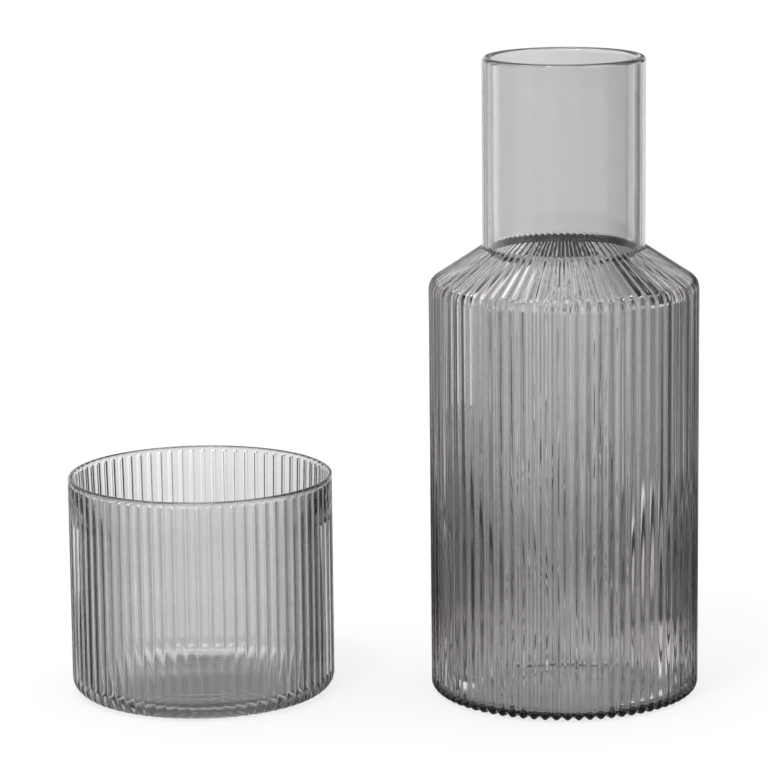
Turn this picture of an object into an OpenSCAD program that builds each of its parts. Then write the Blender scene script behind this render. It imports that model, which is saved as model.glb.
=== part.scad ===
// Bedside carafe with its tumbler, in clear smoke-grey glass, standing side by side.
// Both are reeded: round ribs run up the outside, wrap the bottom corner and, on the carafe,
// converge over the shoulder to a plain straight neck. The insides are smooth.
// Turned over, the tumbler covers the neck and rests on its lip.
// Millimetres. The origin is the centre of the carafe's foot, and +Z is up.

/* [Carafe] */
// Diameter of the body over its ribs
body_d = 84; // [72:0.5:110]
// Height of the body up to the shoulder's corner
body_h = 130.2; // [90:0.2:180]
// Rise of the shoulder from its corner to the neck
shoulder_rise = 11; // [6:0.2:30]
// Length of the neck above the shoulder
neck_h = 58.8; // [20:0.2:100]
// Outer diameter of the neck
neck_d = 50.4; // [36:0.2:62]
// Thickness of the neck's wall
neck_wall = 2.6; // [1.8:0.1:4]
// Thickness of the body's wall, ribs included
body_wall = 3.6; // [2.6:0.1:5]
// Thickness of the wall where the glass has gathered most, ribs included
gather_wall = 6; // [5.2:0.1:7]
// Height of that place
gather_h = 32; // [20:1:45]
// Height at which the wall starts to gather
gather_top_h = 76; // [60:1:82]
// Thickness of the shoulder, ribs included
shoulder_wall = 3.2; // [2.4:0.1:5]
// Thickness of the carafe's base
base_t = 1.8; // [1.6:0.2:9]
// Outer radius of the shoulder's corner
corner_r = 4; // [2:0.2:8]
// Outer radius of the bottom corner
heel_r = 3; // [2:0.2:6]
// Inner radius of the bottom corner
inner_heel_r = 3; // [2.5:0.5:8]
// Inner radius where the shoulder turns into the neck
throat_r = 3; // [1:0.2:6]

/* [Tumbler] */
// Diameter of the tumbler over its ribs
cup_d = 83; // [72:0.5:110]
// Height of the tumbler
cup_h = 69.3; // [50:0.1:110]
// Thickness of the tumbler's wall, ribs included
cup_wall = 2.4; // [2:0.1:4]
// Thickness of the wall at the rim
rim_wall = 1.6; // [1.2:0.1:2]
// Height of the plain band at the rim, above the ribs
rim_band = 1.4; // [0.8:0.1:4]
// Distance below the rim at which the wall starts to thin
rim_thin_h = 14; // [6:0.5:25]
// Thickness of the tumbler's base
cup_base_t = 1.6; // [1.5:0.1:7]
// Outer radius of the tumbler's bottom corner
cup_heel_r = 5; // [2.5:0.1:8]
// Inner radius of the tumbler's bottom corner
cup_inner_heel_r = 4.5; // [2.5:0.5:12]

/* [Ribs] */
// Number of ribs round each piece
rib_count = 72; // [36:1:80]
// Turn of the first groove from the X axis, in degrees
rib_turn = 1.2; // [0:0.1:5]
// Depth of the grooves between the carafe's ribs
rib_depth = 0.9; // [0.3:0.05:1]
// Depth of the grooves between the tumbler's ribs
cup_rib_depth = 0.45; // [0.3:0.05:1]
// Length of the ribs' run-out under the base
rib_run = 3; // [1:0.2:5]
// Length over which the grooves run out below the tumbler's rim
groove_end = 0.8; // [0.4:0.1:3]

/* [Foot] */
// Width of the flat ring that each piece stands on
ring_w = 4; // [2:0.5:8]
// Height of the hollow under the carafe
punt_h = 1; // [0.6:0.2:6]
// Height of the hollow under the tumbler
cup_punt_h = 1.6; // [0.6:0.1:4]

/* [Place] */
// Distance between the two axes, side by side
pair_spacing = 114.2; // [105:0.1:180]
// Distance by which the tumbler stands farther back
cup_back = 4; // [-30:0.5:30]

/* [Hidden] */
smoke = [0.56, 0.55, 0.57, 0.75];
overrun = 2;
turned_fn = 96;

// Steps in the outline of one rib, and in each rounded corner of a profile
rib_steps = 5;
heel_steps = 3;
corner_steps = 2;
inner_steps = 5;
gather_steps = 10;
dome_steps = 5;

// How much of a wall one rounded edge of its lip takes
lip_share = 0.42;

// Step that the shoulder leaves round the foot of the neck
neck_step = 0.1;

// Carafe
body_r = body_d / 2;
neck_r = neck_d / 2;
bore_r = neck_r - neck_wall;
neck_base = body_h + shoulder_rise;
carafe_h = neck_base + neck_h;
slope = atan2(shoulder_rise, body_r - neck_r);
bend = 90 - slope;
lip_r = neck_wall * lip_share;
ring_out_r = body_r - heel_r - rib_run;
punt_r = ring_out_r - ring_w;
chamber_r = body_r - body_wall;
heel_in_h = base_t + inner_heel_r;

// Tumbler
cup_r = cup_d / 2;
cup_in_r = cup_r - cup_wall;
rim_in_r = cup_r - rim_wall;
rim_lip_r = rim_wall * lip_share;
cup_ring_out_r = cup_r - cup_heel_r - rib_run;
cup_punt_r = cup_ring_out_r - ring_w;

// Points of an arc of radius r about [x, z], from one angle to another
function arc(x, z, r, from, to, steps) =
    [for (i = [0:steps]) let (a = from + (to - from) * i / steps) [x + r * cos(a), z + r * sin(a)]];

// Points of the carafe's inner wall, from the bottom corner up to where the gathering starts. It
// swells to its thickest place and back in one smooth wave.
function gathered() =
    [for (i = [0:gather_steps])
        let (z = heel_in_h + (gather_top_h - heel_in_h) * i / gather_steps)
        let (reach = (z - gather_h) / (z > gather_h ? gather_top_h - gather_h : gather_h - heel_in_h))
        [chamber_r - (gather_wall - body_wall) * (1 + cos(180 * reach)) / 2, z]];

// Points of a shallow dome from the axis out to radius r, h high over the height z
function dome(r, h, z) =
    [for (i = [0:dome_steps]) let (s = i / dome_steps) [r * s, z + h * (1 - s * s)]];

// Height of a rib as a share of its depth, at a place t across its pitch: the carafe's grooves are
// as round as its ribs, and the tumbler's are sharp between broad ribs. The two middle points of
// five stand at full height, so the crest is a narrow flat.
function round_share(t) = (1 - cos(360 * t)) / (1 + cos(180 / rib_steps));
function broad_share(t) = (1 - pow(2 * t - 1, 2)) / (1 - pow(1 / rib_steps, 2));

// Depths of the groove across one pitch
rib_sinks = [for (j = [0:rib_steps - 1]) rib_depth * (1 - round_share(j / rib_steps))];
cup_sinks = [for (j = [0:rib_steps - 1]) cup_rib_depth * (1 - broad_share(j / rib_steps))];

// A station of the reeded skin: [radius, height, tilt of the surface's normal, share of the groove's depth]
function stations(points, tilts, share) =
    [for (i = [0:len(points) - 1]) [points[i][0], points[i][1], tilts[i], share]];

// Tilts of the normal along an arc
function tilts(from, to, steps) = [for (i = [0:steps]) from + (to - from) * i / steps];

// One ring of the skin round the axis: the grooves sink along the normal at that station
function skin_ring(s, sinks) =
    [for (i = [0:rib_count - 1], j = [0:rib_steps - 1])
        let (turn = rib_turn + 360 * (i + j / rib_steps) / rib_count)
        let (sink = sinks[j] * s[3])
        let (r = s[0] - sink * cos(s[2]))
        [r * cos(turn), r * sin(turn), s[1] - sink * sin(s[2])]];

// Solid of reeded skin through the stations, which run from the foot to the top
module reeded(path, sinks) {
    n = rib_count * rib_steps;
    rings = len(path);
    points = [for (s = path) each skin_ring(s, sinks)];
    sides = [for (k = [0:rings - 2], i = [0:n - 1])
        let (a = k * n + i)
        let (b = k * n + (i + 1) % n)
        each [[a, a + n, b + n], [a, b + n, b]]];
    foot = [for (i = [0:n - 1]) i];
    top = [for (i = [0:n - 1]) rings * n - 1 - i];
    polyhedron(points, concat([foot], sides, [top]));
}

module turned(points) {
    rotate_extrude($fn = turned_fn) polygon(points);
}

// Hollow under a foot, inside its flat ring
module punt(r, h) {
    turned(concat(dome(r, h, 0), [[r, -overrun], [0, -overrun]]));
}

// Ribbed outside of the carafe. At the top the grooves run out against a low step round the neck.
carafe_path = let (
        tangent = corner_r * tan(bend / 2),
        end_share = neck_r / body_r,
        step_r = neck_r + neck_step,
        end_r = step_r + rib_depth * end_share * cos(bend))
    concat(
        [[ring_out_r, 0, -90, 0]],
        stations(arc(body_r - heel_r, heel_r, heel_r, -90, 0, heel_steps), tilts(-90, 0, heel_steps), 1),
        stations(arc(body_r - corner_r, body_h - tangent, corner_r, 0, bend, corner_steps),
            tilts(0, bend, corner_steps), 1),
        [[end_r, neck_base - (end_r - neck_r) * tan(slope), bend, end_share]],
        [[step_r, neck_base, bend, 0]]);

// Plain neck with a rounded lip, solid until the inside is cut
module neck() {
    turned(concat(
        [[0, body_h], [neck_r, body_h]],
        arc(neck_r - lip_r, carafe_h - lip_r, lip_r, 0, 90, inner_steps),
        [[0, carafe_h]]));
}

// Smooth inside of the carafe: domed floor, gathered wall, chamber, shoulder, straight bore and lip
module carafe_inside() {
    start_r = body_r - shoulder_wall * sin(slope);
    start_z = body_h - shoulder_wall * cos(slope);
    ceiling_z = start_z + (start_r - chamber_r) * tan(slope);
    throat_z = start_z + (start_r - bore_r) * tan(slope);
    inner_corner_r = corner_r;
    turned(concat(
        dome(chamber_r - inner_heel_r, punt_h, base_t),
        arc(chamber_r - inner_heel_r, heel_in_h, inner_heel_r, -90, -90 / inner_steps, inner_steps - 1),
        gathered(),
        arc(chamber_r - inner_corner_r, ceiling_z - inner_corner_r * tan(bend / 2), inner_corner_r,
            0, bend, inner_steps),
        arc(bore_r + throat_r, throat_z + throat_r * tan(bend / 2), throat_r, 180 + bend, 180, inner_steps),
        arc(bore_r + lip_r, carafe_h - lip_r, lip_r, 180, 90, inner_steps),
        [[bore_r + lip_r, carafe_h + overrun], [0, carafe_h + overrun]]));
}

module carafe() {
    color(smoke)
    difference() {
        union() {
            reeded(carafe_path, rib_sinks);
            neck();
        }
        carafe_inside();
        punt(punt_r, punt_h);
    }
}

// Ribbed outside of the tumbler: the grooves fade out round its heel, and run out just below a
// plain, rounded rim
cup_path = concat(
    [[cup_ring_out_r, 0, -90, 0]],
    [for (i = [0:heel_steps])
        let (turn = 90 * (i / heel_steps - 1))
        [cup_r - cup_heel_r + cup_heel_r * cos(turn), cup_heel_r + cup_heel_r * sin(turn), turn, cos(turn)]],
    [[cup_r, cup_h - rim_band - groove_end, 0, 1]],
    [[cup_r, cup_h - rim_band, 0, 0]],
    [[cup_r, cup_h - rim_lip_r, 0, 0]],
    [[cup_r - rim_lip_r, cup_h, 0, 0]]);

module tumbler_inside() {
    turned(concat(
        dome(cup_in_r - cup_inner_heel_r, cup_punt_h, cup_base_t),
        arc(cup_in_r - cup_inner_heel_r, cup_base_t + cup_inner_heel_r, cup_inner_heel_r, -90, 0, inner_steps),
        [[cup_in_r, cup_h - rim_thin_h]],
        arc(rim_in_r + rim_lip_r, cup_h - rim_lip_r, rim_lip_r, 180, 90, inner_steps),
        [[rim_in_r + rim_lip_r, cup_h + overrun], [0, cup_h + overrun]]));
}

module tumbler() {
    color(smoke)
    translate([-pair_spacing, cup_back, 0])
    difference() {
        reeded(cup_path, cup_sinks);
        tumbler_inside();
        punt(cup_punt_r, cup_punt_h);
    }
}

carafe();
tumbler();
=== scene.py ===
import math

import bmesh
import bpy
from mathutils import Matrix, Vector, noise


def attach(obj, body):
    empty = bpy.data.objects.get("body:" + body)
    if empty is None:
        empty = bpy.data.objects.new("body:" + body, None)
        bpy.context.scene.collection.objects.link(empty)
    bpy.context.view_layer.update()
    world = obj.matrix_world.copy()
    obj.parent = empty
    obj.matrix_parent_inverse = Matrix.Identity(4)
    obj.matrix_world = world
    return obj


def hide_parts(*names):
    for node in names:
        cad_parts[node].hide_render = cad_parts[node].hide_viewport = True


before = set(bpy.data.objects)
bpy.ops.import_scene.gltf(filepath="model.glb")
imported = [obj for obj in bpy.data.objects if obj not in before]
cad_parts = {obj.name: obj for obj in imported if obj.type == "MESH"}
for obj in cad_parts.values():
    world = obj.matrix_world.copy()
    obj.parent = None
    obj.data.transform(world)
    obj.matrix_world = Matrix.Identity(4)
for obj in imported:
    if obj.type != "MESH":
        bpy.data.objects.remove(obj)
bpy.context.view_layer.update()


# Camera
# A long lens about 1.2 m away, a little above the carafe's lip and tipped down 11 degrees.
# The place, pitch and roll were fitted to the outlines of both pieces in the photograph.
camera_place = (-0.05607, -1.16715, 0.33291)
camera_pitch = 11.381
camera_roll = -0.62
lens_mm = 179.12
sensor_mm = 36

camera_data = bpy.data.cameras.new("camera")
camera_data.sensor_width = sensor_mm
camera_data.lens = lens_mm
camera = bpy.data.objects.new("camera", camera_data)
bpy.context.collection.objects.link(camera)
camera.matrix_world = (
    Matrix.Translation(camera_place)
    @ Matrix.Rotation(math.radians(90 - camera_pitch), 4, "X")
    @ Matrix.Rotation(math.radians(camera_roll), 4, "Z")
)
bpy.context.scene.camera = camera


# Studio
# A white table that runs into a white surround. Glass takes its lines from what stands round
# it, so white and dark cards stand round the pieces, and panels hang above, which only glass sees.

# The cards stand in five bands, each named for what shows it most. A band starts at an elevation
# in degrees, here called its sill, and reaches up to the next one's. Its cards are pairs of bearing
# in degrees, 0 being straight behind the pieces, and brightness, which runs evenly between them.
low_sill = -36
tumbler_sill = -17
neck_sill = -11
high_sill = -5
upper_sill = 12
sill_blur = 2
low_cards = [
    (-180, 0.9), (-169, 1.4), (-108, 1.55), (-101, 0.6), (-64, 0.45), (-56, 0), (-49, 0),
    (-41, 0.92), (-34, 0.92), (-26, 0.53), (-19, 0.53), (0, 0.82), (11, 0.93), (19, 0), (26, 0),
    (34, 0.5), (41, 0.5), (49, 0.13), (56, 0.13), (64, 0.45), (86, 0.8), (94, 1.6), (131, 1.5),
    (142, 0.9), (158, 0.56), (180, 0.5),
]
tumbler_cards = [
    (-180, 0.7), (-154, 0.5), (-146, 1.3), (-107, 1.6), (-103, 0.45), (-77, 0.45), (-73, 1.6),
    (-62, 1.6), (-59, 0), (-46, 0.05), (-44, 1.2), (-41, 1.2), (-39, 0.05), (-36, 0.05),
    (-34, 1.6), (-31, 1.6), (-29, 0), (-21, 0), (-19, 0.95), (-11, 1.2), (-8, 0.92), (0, 0.95),
    (10, 0.86), (14, 0.7), (16, 0.05), (24, 0.05), (26, 1.2), (29, 1.2), (31, 0), (36, 0.12),
    (39, 0.15), (41, 0.65), (44, 0.65), (46, 0.16), (49, 0.16), (51, 1.6), (54, 1.6),
    (56, 0.34), (62, 0.45), (103, 0.45), (107, 1.6), (116, 1.6), (124, 0.85), (146, 0.85),
    (180, 0.7),
]
neck_cards = [
    (-180, 0.8), (-158, 1.15), (-142, 0.85), (-112, 1.4), (-95, 1.15), (-68, 1.6), (-51, 1.6),
    (-49, 0.12), (-46, 0.12), (-44, 0.82), (-37, 1.3), (-31, 0.9), (-29, 0.17), (-26, 0.17),
    (-23, 0.8), (-12, 1.15), (-8, 0.82), (0, 0.9), (8, 0.77), (14, 0.63), (16, 1.05),
    (19, 1.05), (21, 1.6), (24, 1.6), (26, 0.56), (29, 0.56), (31, 1.5), (34, 1.5), (36, 0.43),
    (49, 0.43), (52, 0.27), (56, 0.05), (60, 0.05), (64, 0.45), (116, 0.45), (124, 0.85),
    (146, 0.85), (180, 0.8),
]
high_cards = [
    (-180, 0.85), (-165, 0.85), (-157, 0.45), (-109, 0.45), (-101, 0.85), (-79, 0.85),
    (-71, 0.45), (-49, 0.45), (-41, 1.1), (-34, 1.2), (-26, 1.6), (-4, 1.4), (0, 0.85),
    (4, 0.25), (11, 0.25), (19, 1.1), (26, 1.1), (34, 0.27), (41, 0.27), (49, 1.6), (101, 1.6),
    (109, 0.68), (131, 0.45), (157, 0.45), (165, 0.85), (180, 0.85),
]
upper_cards = [
    (-180, 0.45), (-95, 0.45), (-85, 1.75), (-50, 1.75), (-40, 0.82), (0, 0.85), (40, 0.9),
    (50, 0), (85, 0), (95, 0.45), (180, 0.45),
]
# Below the cards glass sees this much of the table, but for a patch of painted shade under each piece:
# a flat dim glow in place of the shadow that the piece casts on the table.
table_seen = 0.2
carafe_spot = (0, 0, 0)
carafe_shade_r = 0.042
carafe_shade = 0.3
cup_spot = (-0.1142, 0.004, 0)
cup_shade_r = 0.033
cup_shade = 0.05
# Four panels overhead. Their lower and upper edges fade over these elevations.
panel_count = 4
panel_low = (46, 54)
panel_high = (83, 77)
panel_blur = 0.3
overhead_light = 5.0
# One softbox gives the shadow. The table adds some white of its own, which keeps that shadow light,
# and lies a twentieth of a millimetre low, so that no foot shares its plane.
lamp_watts = 4.0
lamp_side = 0.22
lamp_place = (-0.35, -0.55, 1.4)
lamp_aim = (-0.05, 0, 0.1)
table_radius = 2.5
table_z = -0.00005
table_paint = 0.3
table_lift = 0.7


def linear(code, alpha=1.0):
    """Linear colour from an sRGB hex value."""
    parts = [int(code[i : i + 2], 16) / 255 for i in (1, 3, 5)]
    return (*[p / 12.92 if p <= 0.04045 else ((p + 0.055) / 1.055) ** 2.4 for p in parts], alpha)


def add_node(tree, kind, settings=None, **inputs):
    """Adds a node. An input takes a number, a colour, or the output that feeds it.

    An input is named with _ for a space, or by its number after a _.
    """
    node = tree.nodes.new(kind)
    for name, value in (settings or {}).items():
        setattr(node, name, value)
    for name, value in inputs.items():
        socket = node.inputs[int(name[1:]) if name[0] == "_" else name.replace("_", " ")]
        if isinstance(value, bpy.types.NodeSocket):
            tree.links.new(value, socket)
        else:
            socket.default_value = value
    return node


def seen_by_glass(tree):
    """1 for what shows in or through the glass, 0 for what the camera sees past it."""
    path = add_node(tree, "ShaderNodeLightPath")
    seen = add_node(
        tree, "ShaderNodeMath", {"operation": "MAXIMUM"},
        _0=path.outputs["Is Glossy Ray"], _1=path.outputs["Is Transmission Ray"],
    )
    return seen.outputs[0]


world = bpy.data.worlds.new("surround")
bpy.context.scene.world = world
world.use_nodes = True
tree = world.node_tree
tree.nodes.clear()
way = add_node(tree, "ShaderNodeTexCoord")
split = add_node(tree, "ShaderNodeSeparateXYZ", _0=way.outputs["Generated"])
bearing = add_node(
    tree, "ShaderNodeMath", {"operation": "ARCTAN2"}, _0=split.outputs["X"], _1=split.outputs["Y"],
)
turn = add_node(
    tree, "ShaderNodeMapRange", Value=bearing.outputs[0], From_Min=-math.pi, From_Max=math.pi,
)


def cards(stops):
    """Brightness round the pieces, halved because a ramp ends at 1. It is doubled again below.

    A ramp holds 32 stops at most, so each half turn has a ramp of its own.
    """
    halves = []
    for half in ([stop for stop in stops if stop[0] <= 0], [stop for stop in stops if stop[0] >= 0]):
        ramp = add_node(tree, "ShaderNodeValToRGB", Fac=turn.outputs[0])
        elements = ramp.color_ramp.elements
        elements[0].position = (half[0][0] + 180) / 360
        elements[1].position = (half[-1][0] + 180) / 360
        for degrees, level in half[1:-1]:
            elements.new((degrees + 180) / 360)
        for element, (degrees, level) in zip(elements, half):
            element.color = (level / 2, level / 2, level / 2, 1)
        halves.append(ramp.outputs["Color"])
    right = add_node(tree, "ShaderNodeMath", {"operation": "GREATER_THAN"}, _0=turn.outputs[0], _1=0.5)
    mix = add_node(
        tree, "ShaderNodeMix", {"data_type": "FLOAT"}, _0=right.outputs[0], _2=halves[0], _3=halves[1],
    )
    return mix.outputs[0]


def above(degrees, low, high):
    """One value below an elevation and another above it, with a soft edge."""
    edge = add_node(
        tree, "ShaderNodeMapRange", Value=split.outputs["Z"],
        From_Min=math.sin(math.radians(degrees - sill_blur)),
        From_Max=math.sin(math.radians(degrees + sill_blur)),
    )
    mix = add_node(tree, "ShaderNodeMix", {"data_type": "FLOAT"}, _0=edge.outputs[0], _2=low, _3=high)
    return mix.outputs[0]


# Overhead: a ring between two soft edges, cut into the panels by a wave round the bearing.
turns = add_node(
    tree, "ShaderNodeMath", {"operation": "MULTIPLY"}, _0=bearing.outputs[0], _1=panel_count,
)
crests = add_node(tree, "ShaderNodeMath", {"operation": "COSINE"}, _0=turns.outputs[0])
overhead = add_node(
    tree, "ShaderNodeMapRange", {"interpolation_type": "SMOOTHSTEP"},
    Value=crests.outputs[0], From_Min=0.0, From_Max=panel_blur, To_Max=overhead_light,
)
for start, stop in (panel_low, panel_high):
    edge = add_node(
        tree, "ShaderNodeMapRange", {"interpolation_type": "SMOOTHSTEP"}, Value=split.outputs["Z"],
        From_Min=math.sin(math.radians(start)), From_Max=math.sin(math.radians(stop)),
    )
    overhead = add_node(
        tree, "ShaderNodeMath", {"operation": "MULTIPLY"}, _0=overhead.outputs[0], _1=edge.outputs[0],
    )

halved = table_seen / 2
for sill, stops in (
    (low_sill, low_cards), (tumbler_sill, tumbler_cards), (neck_sill, neck_cards),
    (high_sill, high_cards), (upper_sill, upper_cards),
):
    halved = above(sill, halved, cards(stops))
sides = add_node(tree, "ShaderNodeMath", {"operation": "MULTIPLY"}, _0=halved, _1=2)
all_round = add_node(
    tree, "ShaderNodeMath", {"operation": "MAXIMUM"}, _0=sides.outputs[0], _1=overhead.outputs[0],
)
strength = add_node(
    tree, "ShaderNodeMix", {"data_type": "FLOAT"},
    _0=seen_by_glass(tree), _2=1.0, _3=all_round.outputs[0],
)
light = add_node(tree, "ShaderNodeBackground", Color=(1, 1, 1, 1), Strength=strength.outputs[0])
add_node(tree, "ShaderNodeOutputWorld", Surface=light.outputs[0])

lamp_data = bpy.data.lights.new("softbox", "AREA")
lamp_data.shape = "RECTANGLE"
lamp_data.size = lamp_side
lamp_data.size_y = lamp_side
lamp_data.energy = lamp_watts
lamp = bpy.data.objects.new("softbox", lamp_data)
bpy.context.collection.objects.link(lamp)
lamp.location = lamp_place
lamp.rotation_euler = (Vector(lamp_aim) - lamp.location).to_track_quat("-Z", "Y").to_euler()

white = bpy.data.materials.new("painted table")
white.use_nodes = True
tree = white.node_tree
tree.nodes.clear()
paint = add_node(tree, "ShaderNodeBsdfDiffuse", Color=(table_paint, table_paint, table_paint, 1))
lift = add_node(tree, "ShaderNodeEmission", Color=(1, 1, 1, 1), Strength=table_lift)
both = add_node(tree, "ShaderNodeAddShader", _0=paint.outputs[0], _1=lift.outputs[0])
where = add_node(tree, "ShaderNodeTexCoord")
through = add_node(tree, "ShaderNodeBsdfTransparent")
# Under each piece glass sees a patch of painted shade, a flat dim glow that stands in for the piece's
# shadow on the table. Elsewhere it looks through the table.
for centre, reach, level in (
    (carafe_spot, carafe_shade_r, carafe_shade), (cup_spot, cup_shade_r, cup_shade),
):
    away = add_node(
        tree, "ShaderNodeVectorMath", {"operation": "DISTANCE"}, _0=where.outputs["Object"], _1=centre,
    )
    under = add_node(
        tree, "ShaderNodeMath", {"operation": "LESS_THAN"}, _0=away.outputs["Value"], _1=reach,
    )
    painted_shade = add_node(tree, "ShaderNodeEmission", Color=(1, 1, 1, 1), Strength=level)
    through = add_node(
        tree, "ShaderNodeMixShader", _0=under.outputs[0], _1=through.outputs[0], _2=painted_shade.outputs[0],
    )
seen = add_node(
    tree, "ShaderNodeMixShader", _0=seen_by_glass(tree), _1=both.outputs[0], _2=through.outputs[0],
)
add_node(tree, "ShaderNodeOutputMaterial", Surface=seen.outputs[0])

bm = bmesh.new()
bmesh.ops.create_circle(
    bm, cap_ends=True, segments=64, radius=table_radius, matrix=Matrix.Translation((0, 0, table_z)),
)
table_mesh = bpy.data.meshes.new("table")
bm.to_mesh(table_mesh)
bm.free()
table = bpy.data.objects.new("table", table_mesh)
bpy.context.collection.objects.link(table)
table_mesh.materials.append(white)


# Carafe
# One piece of mould-blown soda-lime glass, tinted smoke grey in the melt. The mould gives the 72
# round ribs outside; the inside is shaped by the air alone, so it is smooth and a little uneven.
mm = 0.001
rib_count = 72
rib_steps = 10
rib_turn = math.radians(1.2)
rib_depth = 0.9 * mm
body_r = 42 * mm
body_h = 130.2 * mm
neck_r = 25.2 * mm
neck_base = 141.2 * mm
carafe_h = 200 * mm
neck_wall = 2.6 * mm
body_wall = 3.6 * mm
gather_wall = 6 * mm
gather_h = 32 * mm
gather_top_h = 76 * mm
gather_steps = 26
shoulder_wall = 3.2 * mm
base_t = 1.8 * mm
corner_r = 4 * mm
heel_r = 3 * mm
inner_heel_r = 3 * mm
throat_r = 1 * mm
root_r = 0.8 * mm
rib_run = 3 * mm
ring_w = 4 * mm
ring_edge = 0.6 * mm
punt_h = 1 * mm
# A straight run has a station this close to each end, or a fifth of a step where that is less.
hem = 0.2 * mm
hem_share = 0.2
weld = 0.001 * mm
# How far the ribs and the inside wander, over what distance, and how much longer upwards. The
# middle of the foot, its ring and the lip are left true.
rib_uneven = 0.06 * mm
rib_spread = 4 * mm
rib_stretch = 4
neck_uneven = 0.04 * mm
upper_uneven = 0.1 * mm
lower_uneven = 0.6 * mm
uneven_h = 75 * mm
uneven_fade_h = 8 * mm
wall_spread = 16 * mm
wall_stretch = 3
true_r = 20 * mm
true_foot_h = 1.5 * mm
true_lip_h = 3 * mm


def arc(x, z, r, start, stop, steps, groove=0.0):
    """Stations on an arc: radius, height, tilt of the surface's normal, share of the groove's depth."""
    turns = [math.radians(start + (stop - start) * i / steps) for i in range(steps + 1)]
    return [(x + r * math.cos(a), z + r * math.sin(a), a, groove) for a in turns]


def line(start, stop, steps, tilt=0.0, groove=(0.0, 0.0)):
    """Stations between two points, both left out. One close to each end keeps the run straight."""
    near = min(hem / math.dist(start, stop), hem_share / steps)
    return [
        (
            start[0] + (stop[0] - start[0]) * share,
            start[1] + (stop[1] - start[1]) * share,
            tilt,
            groove[0] + (groove[1] - groove[0]) * share,
        )
        for share in [near] + [i / steps for i in range(1, steps)] + [1 - near]
    ]


def dome(r, h, z, steps):
    """Stations of a shallow dome, from the axis outwards."""
    shares = [i / steps for i in range(steps + 1)]
    return [(r * share, z + h * (1 - share ** 2), -math.pi / 2, 0.0) for share in shares]


def turn_glass(name, stations, depth, groove_share, uneven):
    """Turns the wedge of one rib from the closed outline of the glass, and repeats it all round."""
    bm = bmesh.new()
    groove = bm.verts.layers.float.new("groove")
    tilt = bm.verts.layers.float.new("tilt")
    last = None
    for r, z, lean, share in stations:
        vert = bm.verts.new((r, 0, z))
        vert[groove] = share
        vert[tilt] = lean
        if last:
            bm.edges.new((last, vert))
        last = vert
    pitch = 2 * math.pi / rib_count
    bmesh.ops.spin(
        bm, geom=bm.verts[:] + bm.edges[:], cent=(0, 0, 0), axis=(0, 0, 1),
        angle=pitch, steps=rib_steps,
    )
    for vert in bm.verts:
        if vert[groove] > 0:
            place = math.atan2(vert.co.y, vert.co.x) / pitch
            sink = depth * vert[groove] * groove_share(place)
            near = 1 - sink * math.cos(vert[tilt]) / math.hypot(vert.co.x, vert.co.y)
            vert.co = (vert.co.x * near, vert.co.y * near, vert.co.z - sink * math.sin(vert[tilt]))
    bmesh.ops.spin(
        bm, geom=bm.verts[:] + bm.edges[:] + bm.faces[:], cent=(0, 0, 0), axis=(0, 0, 1),
        angle=2 * math.pi - pitch, steps=rib_count - 1, use_duplicate=True,
    )
    bmesh.ops.remove_doubles(bm, verts=bm.verts, dist=weld)
    bmesh.ops.rotate(bm, verts=bm.verts, cent=(0, 0, 0), matrix=Matrix.Rotation(rib_turn, 3, "Z"))
    bmesh.ops.recalc_face_normals(bm, faces=bm.faces)
    for face in bm.faces:
        face.smooth = True
    for vert in bm.verts:
        if vert[groove] > 0:
            spot = Vector((vert.co.x, vert.co.y, vert.co.z / rib_stretch)) / rib_spread
            sink = rib_uneven * (1 + noise.noise(spot)) / 2
        else:
            spot = Vector((vert.co.x, vert.co.y, vert.co.z / wall_stretch)) / wall_spread
            sink = uneven(vert.co.z) * noise.noise(spot)
        r = math.hypot(vert.co.x, vert.co.y)
        if r > true_r:
            vert.co.x *= 1 - sink / r
            vert.co.y *= 1 - sink / r
    mesh = bpy.data.meshes.new(name)
    bm.to_mesh(mesh)
    bm.free()
    piece = bpy.data.objects.new(name, mesh)
    bpy.context.collection.objects.link(piece)
    return piece


slope = math.atan2(neck_base - body_h, body_r - neck_r)
bend = math.pi / 2 - slope
bend_deg = math.degrees(bend)
bore_r = neck_r - neck_wall
ring_out_r = body_r - heel_r - rib_run
punt_r = ring_out_r - ring_w
chamber_r = body_r - body_wall
heel_in_h = base_t + inner_heel_r
lip_r = neck_wall / 2
tangent = corner_r * math.tan(bend / 2)
root_t = root_r * math.tan(bend / 2)
end_share = neck_r / body_r

# The outline of the glass from the axis under the foot, up the outside, over the lip and down the
# inside to the axis again. Each run ends with its number of steps, and with its share of groove.
outside = dome(punt_r, punt_h, 0, 5)
outside += [(punt_r + ring_edge, 0, -math.pi / 2, 0)]
outside += [(ring_out_r, 0, -math.pi / 2, 0)]
outside += line((ring_out_r, 0), (body_r - heel_r, 0), 3, -math.pi / 2, (0, 1))
outside += arc(body_r - heel_r, heel_r, heel_r, -90, 0, 8, 1)
outside += line((body_r, heel_r), (body_r, body_h - tangent), 18, 0, (1, 1))
outside += arc(body_r - corner_r, body_h - tangent, corner_r, 0, bend_deg, 6, 1)
foot_of_neck = (neck_r + root_t * math.cos(slope), neck_base - root_t * math.sin(slope))
outside += line(outside[-1][:2], foot_of_neck, 5, bend, (1, end_share))
outside += [(*foot_of_neck, bend, end_share)]
for i, lean in enumerate((bend * 2 / 3, bend / 3, 0), 1):
    r = neck_r + root_r - root_r * math.cos(lean)
    z = neck_base + root_t - root_r * math.sin(lean)
    outside += [(r, z, lean, end_share * (1 - i / 3))]
outside += line((neck_r, neck_base + root_t), (neck_r, carafe_h - lip_r), 4)
lip = arc(neck_r - lip_r, carafe_h - lip_r, lip_r, 0, 180, 9)

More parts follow.
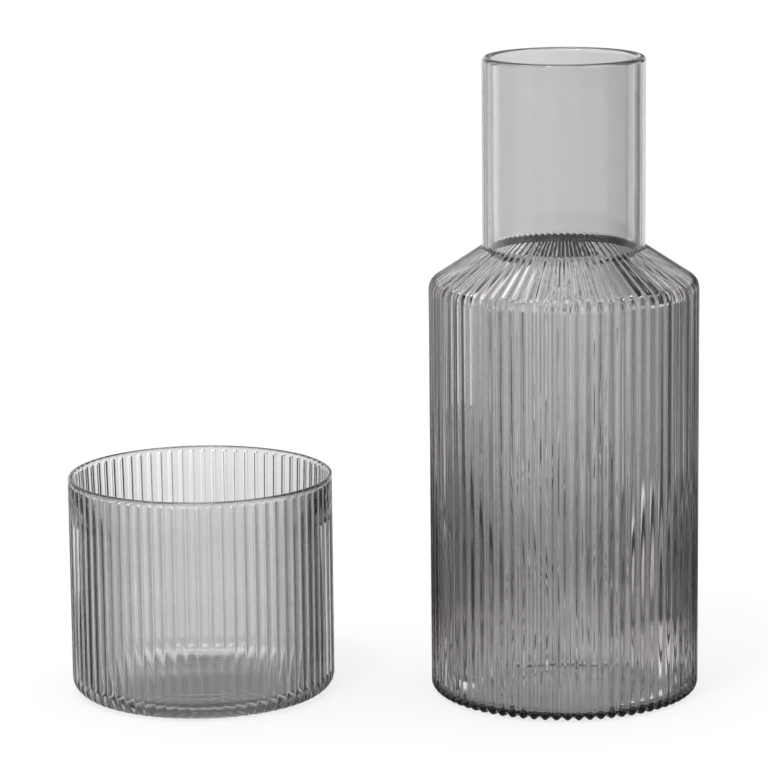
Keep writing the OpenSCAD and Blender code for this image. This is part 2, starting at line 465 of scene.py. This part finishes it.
start_r = body_r - shoulder_wall * math.sin(slope)
start_z = body_h - shoulder_wall * math.cos(slope)
ceiling_z = start_z + (start_r - chamber_r) * math.tan(slope)
throat_z = start_z + (start_r - bore_r) * math.tan(slope)
throat_top_z = throat_z + throat_r * math.tan(bend / 2)
inside = line((bore_r, carafe_h - lip_r), (bore_r, throat_top_z), 4)
inside += arc(bore_r + throat_r, throat_top_z, throat_r, 180, 180 + bend_deg, 5)
inside += arc(chamber_r - corner_r, ceiling_z - tangent, corner_r, bend_deg, 0, 6)
inside += line((chamber_r, ceiling_z - tangent), (chamber_r, gather_top_h), 6)
for i in range(gather_steps):
    z = gather_top_h + (heel_in_h - gather_top_h) * i / gather_steps
    reach = (z - gather_h) / (gather_top_h - gather_h if z > gather_h else gather_h - heel_in_h)
    inside += [(chamber_r - (gather_wall - body_wall) * (1 + math.cos(math.pi * reach)) / 2, z, 0, 0)]
inside += arc(chamber_r - inner_heel_r, heel_in_h, inner_heel_r, 0, -90, 8)
inside += list(reversed(dome(chamber_r - inner_heel_r, punt_h, base_t, 5)[:-1]))


def round_groove(place):
    """Share of a groove's depth across one pitch: as round as the ribs."""
    return (1 + math.cos(2 * math.pi * place)) / 2


def carafe_uneven(z):
    """How far the inside wanders at a height: least in the neck, most below half the body's height."""
    if z < true_foot_h or z > carafe_h - true_lip_h:
        return 0
    if z > neck_base:
        return neck_uneven
    return upper_uneven + lower_uneven / (1 + math.exp((z - uneven_h) / uneven_fade_h))


carafe = turn_glass("carafe_glass", outside + lip + inside, rib_depth, round_groove, carafe_uneven)

# Soda-lime glass, smoked in the melt and blown: its skin is as clear and bright as the fire leaves
# it, and the tint is in its depth, so thick places read darker. The mould strokes faint lines along
# it, a millimetre or two apart, and the breath leaves slow waves.
glass_tint = linear("#c9c6c9")
glass_density = 230
glass_ior = 1.52
stroke_pitch = 1.4 * mm
stroke_depth = 0.006 * mm
stroke_squeeze = 0.04
stroke_detail = 2.0
wave_pitch = 11 * mm
wave_depth = 0.02 * mm
wave_detail = 1.0


def smoked_glass(name, axis_place, girth_r):
    """Glass of a piece blown round an upright axis, with the faint marks that its making leaves."""
    glass = bpy.data.materials.new(name)
    glass.use_nodes = True
    tree = glass.node_tree
    tree.nodes.clear()
    where = add_node(tree, "ShaderNodeTexCoord")
    centred = add_node(
        tree, "ShaderNodeMapping",
        Vector=where.outputs["Object"], Location=(-axis_place[0], -axis_place[1], 0),
    )
    across = add_node(
        tree, "ShaderNodeVectorMath", {"operation": "MULTIPLY"}, _0=centred.outputs[0], _1=(1, 1, 0),
    )
    outwards = add_node(tree, "ShaderNodeVectorMath", {"operation": "NORMALIZE"}, _0=across.outputs[0])
    girth = add_node(
        tree, "ShaderNodeVectorMath", {"operation": "SCALE"}, _0=outwards.outputs[0], Scale=girth_r,
    )
    along = add_node(
        tree, "ShaderNodeVectorMath", {"operation": "MULTIPLY"},
        _0=centred.outputs[0], _1=(0, 0, stroke_squeeze),
    )
    skin_place = add_node(
        tree, "ShaderNodeVectorMath", {"operation": "ADD"}, _0=girth.outputs[0], _1=along.outputs[0],
    )
    strokes = add_node(
        tree, "ShaderNodeTexNoise",
        Vector=skin_place.outputs[0], Scale=1 / stroke_pitch, Detail=stroke_detail,
    )
    waves = add_node(
        tree, "ShaderNodeTexNoise", Vector=centred.outputs[0], Scale=1 / wave_pitch, Detail=wave_detail,
    )
    stroked = add_node(tree, "ShaderNodeBump", Distance=stroke_depth, Height=strokes.outputs["Fac"])
    waved = add_node(
        tree, "ShaderNodeBump",
        Distance=wave_depth, Height=waves.outputs["Fac"], Normal=stroked.outputs[0],
    )
    skin = add_node(
        tree, "ShaderNodeBsdfPrincipled", Base_Color=(1, 1, 1, 1), Roughness=0.0, IOR=glass_ior,
        Transmission_Weight=1.0, Normal=waved.outputs[0],
    )
    tint = add_node(tree, "ShaderNodeVolumeAbsorption", Color=glass_tint, Density=glass_density)
    add_node(tree, "ShaderNodeOutputMaterial", Surface=skin.outputs[0], Volume=tint.outputs[0])
    return glass


carafe.data.materials.append(smoked_glass("smoked glass of the carafe", (0, 0, 0), body_r))
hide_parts("carafe")
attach(carafe, "carafe")


# Tumbler
# Blown in a reeded mould of its own and cut at the top, then fire-polished to a thin plain rim.
# It stands on a flat ring round a shallow hollow, as the carafe does.
cup_r = 41.5 * mm
cup_h = 69.3 * mm
cup_wall = 2.4 * mm
rim_wall = 1.6 * mm
rim_band = 1.4 * mm
groove_end = 0.5 * mm
rim_thin_h = 14 * mm
cup_base_t = 1.6 * mm
cup_heel_r = 5 * mm
cup_inner_heel_r = 4.5 * mm
cup_punt_h = 1.6 * mm
cup_rib_depth = 0.5 * mm
groove_power = 2.6
cup_wander = 0.08 * mm
cup_place = (-114.2 * mm, 4 * mm, 0)
# Low ripples in the inside of the floor, as the chilling glass leaves them.
ripple = 0.09 * mm
ripple_pitch = 4.2 * mm
ripple_full_r = 24 * mm
floor_steps = 70

cup_in_r = cup_r - cup_wall
rim_in_r = cup_r - rim_wall
rim_r = rim_wall / 2
cup_ring_out_r = cup_r - cup_heel_r - rib_run
cup_punt_r = cup_ring_out_r - ring_w

outside = dome(cup_punt_r, cup_punt_h, 0, 6)
outside += [(cup_punt_r + ring_edge, 0, -math.pi / 2, 0)]
outside += [(cup_ring_out_r, 0, -math.pi / 2, 0)]
outside += line((cup_ring_out_r, 0), (cup_r - cup_heel_r, 0), 3, -math.pi / 2)
heel = arc(cup_r - cup_heel_r, cup_heel_r, cup_heel_r, -90, 0, 10)
outside += [(r, z, lean, math.cos(lean)) for r, z, lean, _ in heel]
outside += line((cup_r, cup_heel_r), (cup_r, cup_h - rim_band - groove_end), 6, 0, (1, 1))
for t in (0, 0.25, 0.5, 0.75):
    outside += [(cup_r, cup_h - rim_band - groove_end * (1 - t), 0, 1 - t * t * (3 - 2 * t))]
outside += [(cup_r, cup_h - rim_band, 0, 0)]
outside += arc(cup_r - rim_r, cup_h - rim_r, rim_r, 0, 180, 8)
inside = line((rim_in_r, cup_h - rim_r), (cup_in_r, cup_h - rim_thin_h), 3)
inside += [(cup_in_r, cup_h - rim_thin_h, 0, 0)]
inside += line((cup_in_r, cup_h - rim_thin_h), (cup_in_r, cup_base_t + cup_inner_heel_r), 4)
inside += arc(cup_in_r - cup_inner_heel_r, cup_base_t + cup_inner_heel_r, cup_inner_heel_r, 0, -90, 10)
floor_r = cup_in_r - cup_inner_heel_r
for i in range(floor_steps - 1, -1, -1):
    r = floor_r * i / floor_steps
    z = cup_base_t + cup_punt_h * (1 - (i / floor_steps) ** 2)
    swell = ripple * math.sin(2 * math.pi * r / ripple_pitch) * min(1, r / ripple_full_r)
    inside += [(r, z + swell, -math.pi / 2, 0)]


def sharp_groove(place):
    """Share of a groove's depth across one pitch: a narrow V between broad ribs."""
    return abs(2 * place - 1) ** groove_power


def cup_uneven(z):
    """How far the tumbler's inside wanders at a height."""
    return 0 if z < true_foot_h or z > cup_h - true_lip_h else cup_wander


tumbler = turn_glass("tumbler_glass", outside + inside, cup_rib_depth, sharp_groove, cup_uneven)
tumbler.data.transform(Matrix.Translation(cup_place))
tumbler.data.materials.append(smoked_glass("smoked glass of the tumbler", cup_place, cup_r))
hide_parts("tumbler")
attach(tumbler, "tumbler")


# Picture
# Colours are shown as they are written. A ray through both walls of both pieces turns many times,
# so it is followed far enough to come out again.
glass_bounces = 24
mirror_bounces = 8

scene = bpy.context.scene
scene.view_settings.view_transform = "Standard"
scene.cycles.max_bounces = glass_bounces
scene.cycles.transmission_bounces = glass_bounces
scene.cycles.glossy_bounces = mirror_bounces
